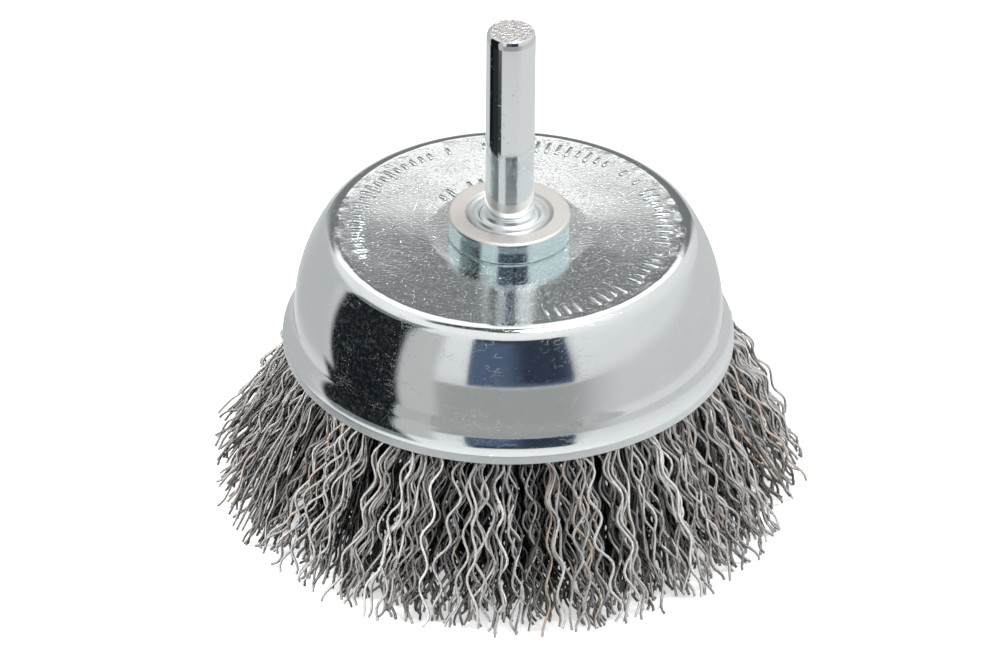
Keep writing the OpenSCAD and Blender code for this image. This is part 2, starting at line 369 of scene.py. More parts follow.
def make_shade():
    """Mirror rays that leave the wires downwards meet this: the floor in the brush's own shade."""
    bm = bmesh.new()
    bmesh.ops.create_circle(bm, cap_ends=True, segments=96, radius=SHADE_R * MM)
    bmesh.ops.translate(bm, verts=bm.verts, vec=(0, 0, -SHADE_DEPTH * MM))
    mesh = bpy.data.meshes.new("shade")
    bm.to_mesh(mesh)
    bm.free()
    shade = bpy.data.objects.new("shade", mesh)
    bpy.context.scene.collection.objects.link(shade)
    material = bpy.data.materials.new("deep_shade")
    material.use_nodes = True
    shader = material.node_tree.nodes["Principled BSDF"]
    shader.inputs["Base Color"].default_value = (SHADE_GREY, SHADE_GREY, SHADE_GREY, 1)
    shader.inputs["Roughness"].default_value = 1.0
    shader.inputs["Specular IOR Level"].default_value = 0.0
    mesh.materials.append(material)
    shade.visible_camera = shade.visible_diffuse = shade.visible_shadow = False
    shade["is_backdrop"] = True


def make_mat(name, sides, taper, colour):
    """A flat sector of a ring that lies on the floor, and that only mirror rays see."""
    steps = 40
    corners = []
    for i in range(steps + 1):
        share = i / steps
        turn = radians(sides[0] + (sides[1] - sides[0]) * share)
        width = 1 - max(0.0, share - taper) / (1 - taper) if taper < 1 else 1
        for along in (0.0, width):
            r = MAT_NEAR_R + (MAT_FAR_R - MAT_NEAR_R) * along
            corners.append((r * sin(turn) * MM, -r * cos(turn) * MM, MAT_LIFT * MM))
    faces = [(2 * i, 2 * i + 1, 2 * i + 3, 2 * i + 2) for i in range(steps)]
    mesh = bpy.data.meshes.new(name)
    mesh.from_pydata(corners, [], faces)
    mat = bpy.data.objects.new(name, mesh)
    bpy.context.scene.collection.objects.link(mat)
    material = bpy.data.materials.new(name)
    material.use_nodes = True
    g = Graph(material.node_tree)
    glow = g.node("ShaderNodeEmission")
    glow.inputs["Color"].default_value = (*colour, 1.0)
    g.put(material.node_tree.nodes["Material Output"].inputs["Surface"], glow.outputs[0])
    mesh.materials.append(material)
    mat.visible_camera = mat.visible_diffuse = mat.visible_shadow = False
    mat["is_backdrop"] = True


make_floor()
make_shade()
for mat in MATS:
    make_mat(*mat)
for lamp in LAMPS:
    make_lamp(*lamp)
print("floor at 0,", len(MATS), "mats,", len(LAMPS), "lamps")

# %% [markdown]
# The finishes come next. Bright zinc plate is a mirror with a faint blue-green cast, and its
# mirror image is broken up at three scales: a slow waviness left by the press, fine grains of the
# plating, and thin scratches. Each is a noise on Object coordinates that feeds the bump, so the
# pattern sits still on the metal when the brush or the camera moves.

# %% Metal finishes
ZINC = (0.86, 0.885, 0.89, 1.0)
TURNED = (0.80, 0.765, 0.735, 1.0)
COLLAR_TEAL = (0.66, 0.79, 0.81, 1.0)
DISH_GREY = (0.62, 0.63, 0.62, 1.0)
PLAIN_STEEL = (0.46, 0.46, 0.455, 1.0)
WIRE_DARK = (0.36, 0.35, 0.34, 1.0)
WIRE_LIGHT = (0.84, 0.82, 0.80, 1.0)
# Painted shade: the near black given to wires deep in the filling
WIRE_PAINTED_SHADE = (0.05, 0.048, 0.046, 1.0)
WIRE_BROWN = (0.55, 0.43, 0.34, 1.0)
BUMP_SCALE = 0.001


def new_metal(name, colour, roughness):
    material = bpy.data.materials.new(name)
    material.use_nodes = True
    g = Graph(material.node_tree)
    shader = material.node_tree.nodes["Principled BSDF"]
    g.put(shader.inputs["Base Color"], colour)
    g.put(shader.inputs["Metallic"], 1.0)
    g.put(shader.inputs["Roughness"], roughness)
    place = g.node("ShaderNodeTexCoord").outputs["Object"]
    return material, g, shader, place


def noise(g, place, per_mm, detail=2.0, stretch=(1, 1, 1), roughness=0.5):
    """Noise with that many features to the millimetre, stretched along an axis where asked."""
    scaled = g.node("ShaderNodeVectorMath", operation="MULTIPLY")
    g.put(scaled.inputs[0], place)
    scaled.inputs[1].default_value = [per_mm / MM * s for s in stretch]
    node = g.node("ShaderNodeTexNoise")
    g.put(node.inputs["Vector"], scaled.outputs[0])
    g.put(node.inputs["Scale"], 1.0)
    g.put(node.inputs["Detail"], detail)
    g.put(node.inputs["Roughness"], roughness)
    return node.outputs["Fac"]


def bump(g, height, depth_mm, strength=1.0, before=None):
    node = g.node("ShaderNodeBump")
    g.put(node.inputs["Height"], height)
    g.put(node.inputs["Distance"], depth_mm * BUMP_SCALE)
    g.put(node.inputs["Strength"], strength)
    g.put(node.inputs["Normal"], before)
    return node.outputs["Normal"]


def radius_of(g, place):
    """Distance from the brush's axis in millimetres, and height in millimetres."""
    x, y, z = g.split(place)
    across = g.math("SQRT", g.add(g.mul(x, x), g.mul(y, y)))
    return g.mul(across, 1 / MM), g.mul(z, 1 / MM)


def scratches(g, place, per_mm, stretch, amount):
    """Thin lines: the narrow band of a stretched noise where it crosses its middle."""
    field = noise(g, place, per_mm, 3.0, stretch)
    line = g.smooth(g.math("ABSOLUTE", g.sub(field, 0.5)), 0.0, amount, 1.0, 0.0)
    patch = g.smooth(noise(g, place, 0.25, 2.0), 0.5, 0.66)
    return g.mul(line, patch)


# %% [markdown]
# The cup's finish differs between its two zones. The wall was drawn smooth by the press, so
# it is nearly a clean mirror with a veil of dust in patches, which shows on the dark parts of its
# image. The flat top was struck by a rough stamp, so it is covered in fine grain that catches the
# light. A mask on the distance from the axis divides them.

# %% Plated sheet
TOP_ZONE_R = 21.1
EDGE_ZONE_R = 20.9
WALL_ROUGHNESS = 0.06
TOP_ROUGHNESS = 0.09
FLARE_ROUGHNESS = 0.07
CUT_ROUGHNESS = 0.45
DUST = 0.016
SPECKLE_GREY = (0.50, 0.515, 0.52, 1.0)


def plated_sheet():
    material, g, shader, place = new_metal("plated_sheet", ZINC, WALL_ROUGHNESS)
    across, height = radius_of(g, place)
    on_top = g.mul(g.smooth(across, TOP_ZONE_R - 0.3, TOP_ZONE_R, 1.0, 0.0),
                   g.smooth(height, CUP_TOP - 0.9, CUP_TOP - 0.7))
    flare = g.smooth(height, RIM_Z + 3.4, RIM_Z + 2.2)
    cut = g.mul(g.smooth(across, RIM_R - 0.12, RIM_R - 0.03),
                g.smooth(height, RIM_Z + 1.3, RIM_Z + 1.1))
    wavy = noise(g, place, 0.09, 1.0)
    grain = noise(g, place, 6.0, 0.0)
    pits = g.smooth(noise(g, place, 4.5, 0.0), 0.62, 0.72)
    edge = g.mul(g.smooth(across, EDGE_ZONE_R - 1.0, EDGE_ZONE_R - 0.2),
                 g.smooth(across, EDGE_ZONE_R, EDGE_ZONE_R + 0.7, 1.0, 0.0))
    edge = g.mul(edge, g.smooth(height, CUP_TOP - 1.0, CUP_TOP - 0.7))
    ragged = noise(g, place, 0.4, 2.0)
    spotty = g.smooth(noise(g, place, 0.18, 2.0), 0.42, 0.6)
    dots = g.mul(g.smooth(noise(g, place, 5.5, 1.0), 0.64, 0.74), g.lerp(0.35, 1.0, spotty))
    fine = noise(g, place, 7.0, 2.0)
    lines = scratches(g, place, 0.5, (1.0, 0.35, 2.2), 0.006)
    normal = bump(g, wavy, 0.10)
    normal = bump(g, ragged, 0.10, edge, normal)
    normal = bump(g, grain, 0.009, g.smooth(on_top, 0, 1, 0.12, 1.0), normal)
    normal = bump(g, pits, 0.014, on_top, normal)
    normal = bump(g, dots, -0.004, 0.6, normal)
    normal = bump(g, lines, -0.012, 0.5, normal)
    normal = bump(g, fine, 0.05, cut, normal)
    g.put(shader.inputs["Normal"], normal)
    rough = g.lerp(WALL_ROUGHNESS, TOP_ROUGHNESS, on_top)
    rough = g.lerp(rough, FLARE_ROUGHNESS, flare)
    rough = g.lerp(rough, CUT_ROUGHNESS, cut)
    rough = g.add(rough, g.mul(fine, 0.03))
    rough = g.add(rough, g.mul(lines, 0.15))
    rough = g.add(rough, g.mul(dots, g.lerp(0.22, 0.08, flare)))
    g.put(shader.inputs["Roughness"], rough)
    dust = g.smooth(noise(g, place, 2.2, 4.0, roughness=0.75), 0.46, 0.72)
    g.put(shader.inputs["Metallic"], g.sub(1.0, g.mul(g.mul(dust, g.sub(1.0, on_top)), DUST)))
    tone = g.smooth(noise(g, place, 0.35, 3.0), 0.35, 0.75)
    colour = g.mix(g.mul(tone, 0.35), ZINC, (0.80, 0.84, 0.85, 1))
    speckle = g.smooth(noise(g, place, 4.5, 1.0), 0.48, 0.66)
    g.put(shader.inputs["Base Color"], g.mix(g.mul(g.mul(speckle, on_top), 0.28), colour, SPECKLE_GREY))
    return material


plated = plated_sheet()
print("finish:", plated.name)

# %% [markdown]
# The collar and the shank are turned. The cutting tool leaves fine rings on the collar's
# face, which scatter the light to a satin, slightly warm grey, while the side of the collar and the
# shank stay bright. The shank's end was sawn and only tumbled, so it is rough and pale.

# %% Turned and plated steel
FACE_ROUGHNESS = 0.42
DISH_ROUGHNESS = 0.40
LIP_ROUGHNESS = 0.36
SIDE_ROUGHNESS = 0.07
DISH_R = 5.4
LIP_R = 4.35
SHANK_R = 3.0
NOSE_W = 0.45
NOSE_L = 1.05


def plated_turned():
    material, g, shader, place = new_metal("plated_turned", ZINC, SIDE_ROUGHNESS)
    across, height = radius_of(g, place)
    near_face = g.mul(g.smooth(height, COLLAR_TOP - 0.6, COLLAR_TOP - 0.45),
                      g.smooth(across, COLLAR_R - 0.12, COLLAR_R - 0.04, 1.0, 0.0))
    below_end = g.smooth(height, SHANK_TOP - 0.25, SHANK_TOP - 0.05)
    dish = g.mul(g.smooth(across, LIP_R - 0.1, LIP_R + 0.1), near_face)
    satin = g.mul(g.smooth(across, DISH_R - 0.1, DISH_R + 0.1), near_face)
    end = g.mul(below_end, g.smooth(across, SHANK_R - NOSE_W, SHANK_R - NOSE_W + 0.12, 1.0, 0.0))
    rings = noise(g, g.join(across, 0.0, 0.0), 0.004, 2.0)
    drawn = noise(g, place, 1.2, 3.0, (1, 1, 0.03))
    specks = g.smooth(noise(g, place, 2.0, 2.0), 0.66, 0.74)
    grit = noise(g, place, 2.6, 2.0, roughness=0.7)
    lip = g.mul(g.smooth(across, LIP_R - 0.1, LIP_R + 0.1, 1.0, 0.0),
                g.smooth(height, COLLAR_TOP + 0.1, COLLAR_TOP + 0.5, 1.0, 0.0))
    normal = bump(g, drawn, 0.006, 0.6)
    normal = bump(g, rings, 0.01, dish, normal)
    normal = bump(g, specks, -0.006, 0.6, normal)
    normal = bump(g, grit, 0.22, end, normal)
    g.put(shader.inputs["Normal"], normal)
    rough = g.lerp(SIDE_ROUGHNESS, LIP_ROUGHNESS, lip)
    rough = g.lerp(rough, DISH_ROUGHNESS, dish)
    rough = g.lerp(rough, FACE_ROUGHNESS, satin)
    rough = g.lerp(rough, 0.4, end)
    rough = g.add(rough, g.mul(specks, 0.2))
    g.put(shader.inputs["Roughness"], rough)
    collar = g.smooth(across, COLLAR_R - 0.5, COLLAR_R - 0.3)
    warm = g.mix(collar, ZINC, COLLAR_TEAL)
    warm = g.mix(dish, warm, DISH_GREY)
    warm = g.mix(g.mul(satin, 0.9), warm, TURNED)
    g.put(shader.inputs["Base Color"], g.mix(g.mul(end, 0.8), warm, (0.52, 0.49, 0.475, 1)))
    return material


turned = plated_turned()

# %% [markdown]
# Inside the cup nothing is plated: the plate, the ring and the washer are plain cold-rolled
# steel, grey and a little mottled.

# %% Plain steel


def plain_steel():
    material, g, shader, place = new_metal("plain_steel", PLAIN_STEEL, 0.38)
    mottle = noise(g, place, 0.5, 4.0)
    g.put(shader.inputs["Roughness"], g.smooth(mottle, 0.3, 0.7, 0.3, 0.5))
    g.put(shader.inputs["Base Color"], g.mix(mottle, (0.40, 0.40, 0.40, 1), (0.54, 0.54, 0.53, 1)))
    g.put(shader.inputs["Normal"], bump(g, noise(g, place, 3.0, 3.0), 0.01))
    return material


steel = plain_steel()

# %% [markdown]
# The wire is bare drawn steel with a trace of oil. The middle of the filling is painted shade: wires deep
# between the others are painted nearly black, as if their neighbours shade them, and the outer wires, the
# innermost ones and the tips keep their bright steel. Wires from different coils differ in tone as well.
# So the wire tree stores two numbers on each wire, its own tone and how far it is out of the painted
# shade, and the finish reads them as attributes.

# %% Wire
WIRE_ROUGHNESS = 0.30
WIRE_METAL = 0.75


def wire_steel():
    material, g, shader, place = new_metal("crimped_wire", WIRE_LIGHT, WIRE_ROUGHNESS)
    tone = g.node("ShaderNodeAttribute", attribute_name="wire_tone").outputs["Fac"]
    stain = g.smooth(noise(g, place, 0.6, 2.0), 0.35, 0.7)
    share = g.add(g.mul(tone, 0.7), g.mul(stain, 0.3))
    # Painted shade: where this attribute is low, deep in the filling, the wire is painted nearly black
    out_of_painted_shade = g.node("ShaderNodeAttribute", attribute_name="wire_out_of_painted_shade").outputs["Fac"]
    steel_grey = g.mix(out_of_painted_shade, WIRE_PAINTED_SHADE, g.mix(share, WIRE_DARK, WIRE_LIGHT))
    rusty = g.smooth(tone, 0.94, 0.97, 0.0, 0.8)
    g.put(shader.inputs["Base Color"], g.mix(rusty, steel_grey, WIRE_BROWN))
    g.put(shader.inputs["Metallic"], WIRE_METAL)
    g.put(shader.inputs["Roughness"], g.smooth(stain, 0, 1, 0.22, 0.11))
    g.put(shader.inputs["Normal"], bump(g, noise(g, place, 6.0, 2.0), 0.008, 0.6))
    return material


wire = wire_steel()
for name in ("inner_plate", "core_ring", "washer"):
    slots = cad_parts[name].data.materials
    slots.clear()
    slots.append(steel)
print("finishes:", ", ".join(m.name for m in (plated, turned, steel, wire)))

# %% [markdown]
# The cup, the collar and the shank are all bodies of revolution. A bright mirror shows every
# facet, so they are spun again here from the same outline with many more steps, and each corner
# of the outline gets the small radius that pressing, turning and tumbling leave. An outline is a
# list of corners with a radius each. The first helper rounds the corners. Smooth shading would then
# bend the mirror image along each straight run, so the second one holds the runs straight with a
# point close to both of their ends. The last one spins the outline.

# %% Outline and lathe helpers
SPIN_STEPS = 288
CORNER_STEPS = 5
LONG_RUN = 1.2
SUPPORT = 0.08


def arc(centre, radius, start, end, steps):
    """Points on an arc, angles in degrees."""
    turns = [radians(start + (end - start) * i / steps) for i in range(steps + 1)]
    return [(centre[0] + radius * cos(a), centre[1] + radius * sin(a)) for a in turns]


def rounded(corners):
    """Outline of (r, z, radius) corners with each corner rounded off."""
    outline = []
    for i, (x, z, radius) in enumerate(corners):
        if not radius or i in (0, len(corners) - 1):
            outline.append((x, z))
            continue
        here = Vector((x, z))
        before = (Vector(corners[i - 1][:2]) - here).normalized()
        after = (Vector(corners[i + 1][:2]) - here).normalized()
        half = before.angle(after) / 2
        reach = radius / tan(half)
        centre = here + (before + after).normalized() * radius / sin(half)
        start, end = here + before * reach - centre, here + after * reach - centre
        turn = atan2(start.x * end.y - start.y * end.x, start.dot(end))
        first = atan2(start.y, start.x)
        outline += arc(centre, radius, degrees(first), degrees(first + turn), CORNER_STEPS)
    return outline


def supported(outline, closed):
    """Puts a point close to both ends of each long straight run, so that it's shaded flat between them."""
    full = []
    for (r, z), (next_r, next_z) in zip(outline, outline[1:] + outline[:1]):
        full.append((r, z))
        run = hypot(next_r - r, next_z - z)
        last = not closed and len(full) > 1 and (r, z) == outline[-1]
        if run > LONG_RUN and not last:
            for share in (SUPPORT / run, 1 - SUPPORT / run):
                full.append((r + (next_r - r) * share, z + (next_z - z) * share))
    return full


def lathe(name, outline, closed=False):
    """Spins an outline in millimetres round the axis into one closed mesh."""
    bm = bmesh.new()
    outline = supported(outline, closed)
    rings = []
    for r, z in outline:
        if r < 1e-6:
            rings.append([bm.verts.new((0, 0, z * MM))])
            continue
        turns = [2 * pi * i / SPIN_STEPS for i in range(SPIN_STEPS)]
        rings.append([bm.verts.new((r * cos(a) * MM, r * sin(a) * MM, z * MM)) for a in turns])
    pairs = list(zip(rings, rings[1:] + rings[:1])) if closed else list(zip(rings, rings[1:]))
    for low, high in pairs:
        for i in range(SPIN_STEPS):
            j = (i + 1) % SPIN_STEPS
            if len(low) == 1:
                bm.faces.new((low[0], high[j], high[i]))
            elif len(high) == 1:
                bm.faces.new((low[i], low[j], high[0]))
            else:
                bm.faces.new((low[i], low[j], high[j], high[i]))
    bmesh.ops.recalc_face_normals(bm, faces=bm.faces)
    mesh = bpy.data.meshes.new(name)
    bm.to_mesh(mesh)
    bm.free()
    mesh.shade_smooth()
    mesh.set_sharp_from_angle(angle=radians(40))
    made = bpy.data.objects.new(name, mesh)
    bpy.context.scene.collection.objects.link(made)
    return made


def dress(piece, material, slot, *nodes):
    """Gives a finished piece its material and ties it to the brush."""
    piece.data.materials.clear()
    piece.data.materials.append(material)
    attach(piece, "root")
    if nodes:
        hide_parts(*nodes)
    print(f"{piece.name}: {len(piece.data.polygons)} faces")


# %% [markdown]
# The cup was drawn from one disc of sheet. Its wall bulges like a shallow dome, stands upright near
# the bottom and then flares out to the rim, where the sheet is cut square. The flat top is dished by
# about half a millimetre and turns into the wall over a small bend.

# %% Cup
SHEET = 1.0
DOME_R = 20.4
SHOULDER_R = 2.5
FLARE_R = 3.3
FLARE_OUT = 1.4
HUB_R = 10.0
HUB_DEPTH = CUP_TOP - COLLAR_Z
HOLE_R = 3.1
RIM_EDGE_R = 0.16
BODY_R = RIM_R - FLARE_OUT
FLARE_Z = RIM_Z + sqrt((FLARE_R + SHEET) ** 2 - (FLARE_R - FLARE_OUT) ** 2)
RISE = CUP_TOP - SHOULDER_R - FLARE_Z
TOP_R = BODY_R - DOME_R + sqrt((DOME_R - SHOULDER_R) ** 2 - RISE ** 2)


def cup_outline():
    flare_x = BODY_R + FLARE_R
    dome_x = BODY_R - DOME_R
    lean = degrees(atan2(RISE, TOP_R - dome_x))
    hub_z = CUP_TOP - HUB_DEPTH

    def face(depth, steps):
        turn = degrees(acos((flare_x - RIM_R) / (FLARE_R + depth)))
        return (arc((TOP_R, CUP_TOP - SHOULDER_R), SHOULDER_R - depth, 90, lean, steps)
                + arc((dome_x, FLARE_Z), DOME_R - depth, lean, 0, 2 * steps)[1:]
                + arc((flare_x, FLARE_Z), FLARE_R + depth, 180, 180 + turn, steps)[1:])

    outer, inner = face(0, 14), face(SHEET, 7)
    top = rounded([(HOLE_R, hub_z, 0), (HUB_R, hub_z, 8), (TOP_R, CUP_TOP, 0)])
    rim = rounded([
        (*outer[-2], 0), (*outer[-1], RIM_EDGE_R), (*inner[-1], RIM_EDGE_R / 2), (*inner[-2], 0)])
    under = [(HUB_R, hub_z - SHEET), (HOLE_R, hub_z - SHEET)]
    return top + outer[1:-2] + rim + inner[-3::-1] + under


cup = lathe("cup_shell", cup_outline(), closed=True)
dress(cup, plated, "plated_sheet", "cup")

# %% [markdown]
# The collar is a turned ring with a shallow dish in its face. Its inner lip is staked against the
# shank, which leaves the raised, slightly uneven ring that catches the light.

# %% Collar
EDGE_R = 0.16
LIP_DEPTH = 0.35
BORE_R = 3.675


def collar_outline():
    face = COLLAR_TOP - LIP_DEPTH
    lip_w = (LIP_R - BORE_R) / 3
    bevel = 0.25
    return rounded([
        (BORE_R, COLLAR_Z, 0),
        (COLLAR_R - bevel, COLLAR_Z, EDGE_R),
        (COLLAR_R, COLLAR_Z + bevel, EDGE_R),
        (COLLAR_R, COLLAR_TOP - bevel, EDGE_R),
        (COLLAR_R - bevel, COLLAR_TOP, EDGE_R),
        (DISH_R, COLLAR_TOP, 0.15),
        (DISH_R - 0.42, face, 0.5),
        (LIP_R, face, 0.06),
        (LIP_R - lip_w, COLLAR_TOP, 0.12),
        (BORE_R + lip_w, COLLAR_TOP, 0.1),
        (BORE_R, face, 0)])


collar = lathe("collar_ring", collar_outline(), closed=True)
dress(collar, turned, "plated_turned", "collar")

# %% [markdown]
# The shank flares a little at its foot, where it fills the collar's bore. Below the collar it goes on as
# the stem that runs through the cup, and ends in the rivet head that holds everything together.

# %% Shank
SHOULDER_FOOT_R = 3.625
FOOT_FILLET = 0.6
HEAD_R = 4.75
HEAD_H = 2.2
NOSE_STEPS = 9


def shank_outline():
    low = shank_low[2] / MM
    head_top = low + HEAD_H
    edge = HEAD_H / 4
    peen_h = HEAD_H - edge
    peen_r = (HEAD_R ** 2 + peen_h ** 2) / (2 * peen_h)
    peen_turn = degrees(asin(HEAD_R / peen_r))
    foot = COLLAR_TOP - LIP_DEPTH
    foot_w = SHOULDER_FOOT_R - SHANK_R
    head = arc((0, low + peen_r), peen_r, -90, -90 + peen_turn, 10)
    turns = [radians(90 * i / NOSE_STEPS) for i in range(NOSE_STEPS)]
    nose = [(SHANK_R - NOSE_W * (1 - cos(a)), SHANK_TOP - NOSE_L * (1 - sin(a)), 0) for a in turns]
    return head + rounded([
        (*head[-1], 0),
        (HEAD_R, head_top, 0.15),
        (SHANK_R, head_top, 0),
        (SHANK_R, COLLAR_Z, 0),
        (SHOULDER_FOOT_R, COLLAR_Z, 0),
        (SHOULDER_FOOT_R, foot, 0.1),
        (SHANK_R + foot_w / 3, foot + FOOT_FILLET / 3, 0.3),
        (SHANK_R, foot + FOOT_FILLET, 0.5),
        *nose,
        (0, SHANK_TOP, 0)])[1:]


shank = lathe("shank_turned", shank_outline())
dress(shank, turned, "plated_turned", "shank")

# %% [markdown]
# The top of the cup carries struck marks in arcs near its edge. Their place holds plain raised
# strokes here, like the graduation of a dial. They repeat, so Geometry Nodes make them: points on
# an arc, a small bar on each, long and short at random, all from named sizes and a fixed seed.

# %% Raised strokes on the top
STROKE_RING_R = 18.9
STROKE_PITCH = 1.25
STROKE_LENGTH = 2.3
STROKE_WIDTH = 0.5
STROKE_HEIGHT = 0.34
# Each arc: name, radius, first and last angle in degrees counted from the right
STROKE_ARCS = (
    ("left", STROKE_RING_R, 114, 200),
    ("back", STROKE_RING_R, 51, 100),
    ("right", STROKE_RING_R, -76, 42),
    ("inner", 11.0, 108, 138),
)


def inputs_of(tree, sizes):
    """Adds the named inputs of a tree, with their first values."""
    for name, value in sizes.items():
        kind = "NodeSocketInt" if isinstance(value, int) else "NodeSocketFloat"
        socket = tree.interface.new_socket(name, in_out="INPUT", socket_type=kind)
        socket.default_value = value
    tree.interface.new_socket("Geometry", in_out="OUTPUT", socket_type="NodeSocketGeometry")


def grow(name, tree, values):
    """Runs a tree with these input values and returns the result as a plain mesh object."""
    maker = bpy.data.objects.new(name + "_maker", bpy.data.meshes.new(name + "_maker"))
    bpy.context.scene.collection.objects.link(maker)
    modifier = maker.modifiers.new("tree", "NODES")
    modifier.node_group = tree
    for item in tree.interface.items_tree:
        if item.in_out == "INPUT" and item.name in values:
            modifier[item.identifier] = values[item.name]
    graph = bpy.context.evaluated_depsgraph_get()
    mesh = bpy.data.meshes.new_from_object(maker.evaluated_get(graph))
    mesh.name = name
    bpy.data.objects.remove(maker)
    made = bpy.data.objects.new(name, mesh)
    bpy.context.scene.collection.objects.link(made)
    return made


def finish_tree(g, geometry, material):
    """Ends a tree: real geometry, one material, out."""
    real = g.node("GeometryNodeRealizeInstances")
    g.put(real.inputs[0], geometry)
    painted = g.node("GeometryNodeSetMaterial")
    g.put(painted.inputs["Geometry"], real.outputs[0])
    painted.inputs["Material"].default_value = material
    end = g.node("NodeGroupOutput")
    g.put(end.inputs["Geometry"], painted.outputs[0])


def random_value(g, low, high, seed, ident=None):
    node = g.node("FunctionNodeRandomValue", data_type="FLOAT")
    g.put(node.inputs[2], low)
    g.put(node.inputs[3], high)
    g.put(node.inputs["ID"], ident)
    g.put(node.inputs["Seed"], seed)
    return node.outputs[1]


def stroke_tree():
    tree = bpy.data.node_groups.new("raised_strokes", "GeometryNodeTree")
    inputs_of(tree, {"Ring Radius": 1.0, "First Angle": 0.0, "Angle Span": 1.0, "Count": 8,
                     "Length": STROKE_LENGTH * MM, "Width": STROKE_WIDTH * MM,
                     "Height": STROKE_HEIGHT * MM, "Level": 0.0, "Seed": 5})
    g = Graph(tree)
    size = g.node("NodeGroupInput").outputs
    line = g.node("GeometryNodeMeshLine")
    g.put(line.inputs["Count"], size["Count"])
    index = g.node("GeometryNodeInputIndex").outputs[0]
    share = g.math("DIVIDE", index, g.sub(size["Count"], 1.0))
    turn = g.add(size["First Angle"], g.mul(share, size["Angle Span"]))
    radius = size["Ring Radius"]
    spread = g.node("GeometryNodeSetPosition")
    g.put(spread.inputs["Geometry"], line.outputs[0])
    g.put(spread.inputs["Position"], g.join(g.mul(radius, g.math("COSINE", turn)),
                                            g.mul(radius, g.math("SINE", turn)), size["Level"]))
    bar = g.node("GeometryNodeMeshCube")
    g.put(bar.inputs["Size"], g.join(size["Length"], size["Width"], size["Height"]))
    for name in ("Vertices X", "Vertices Y", "Vertices Z"):
        bar.inputs[name].default_value = 2
    soft = g.node("GeometryNodeSubdivisionSurface")
    g.put(soft.inputs["Mesh"], bar.outputs["Mesh"])
    soft.inputs["Level"].default_value = 2
    soft.inputs["Edge Crease"].default_value = 0.6
    smooth = g.node("GeometryNodeSetShadeSmooth")
    g.put(smooth.inputs["Geometry"], soft.outputs[0])
    chance = random_value(g, 0.0, 1.0, size["Seed"])
    shorter = g.smooth(chance, 0.45, 0.46, 1.0, 0.55)
    place = g.node("GeometryNodeInstanceOnPoints")
    g.put(place.inputs["Points"], spread.outputs[0])
    g.put(place.inputs["Selection"], g.math("LESS_THAN", chance, 0.86))
    g.put(place.inputs["Instance"], smooth.outputs[0])
    g.put(place.inputs["Rotation"], g.join(0.0, 0.0, turn))
    g.put(place.inputs["Scale"], g.join(shorter, 1.0, 1.0))
    finish_tree(g, place.outputs[0], plated)
    return tree


def top_level(radius):
    """Height of the dished top at this distance from the axis."""
    rise = max(0.0, (radius - HUB_R) / (TOP_R - HUB_R))
    return CUP_TOP - HUB_DEPTH * (1 - rise)


strokes = stroke_tree()
for seed, (name, radius, first, last) in enumerate(STROKE_ARCS):
    count = round(radius * radians(last - first) / STROKE_PITCH)
    marks = grow(f"raised_strokes_{name}", strokes, {
        "Ring Radius": radius * MM, "First Angle": radians(first), "Seed": seed + 5,
        "Angle Span": radians(last - first), "Count": count, "Level": top_level(radius) * MM})
    dress(marks, plated, "plated_sheet")

# %% [markdown]
# The filling is the heart of the brush. Every wire was crimped between toothed rollers and then
# folded over the core ring, so each visible end is one leg of a hairpin. A leg starts on top of
# the ring, comes down beside it, passes the narrow throat between cup and plate, and splays out.
# Neighbouring wires left the rollers together, so they wave in step and stick together in
# clumps, with dark gaps between the clumps. That is what the tree builds: one plain line is
# copied once for each wire, and a formula bends each copy. What a clump shares comes from a
# random number with the clump's number as its key, and what is a wire's own from the wire's number.

# %% Sizes of the filling
WIRE_R = 0.195
WAVE_LENGTH = 5.0
WAVE_DEPTH = 0.62
WIRES_PER_CLUMP = 4
SECTORS = 16
WIRES_PER_SECTOR = 144
WIRE_POINTS = 38
WIRE_SIDES = 3
GOLDEN = 0.618034
HOLLOW_R = 18.5
THROAT_GAP = 0.5


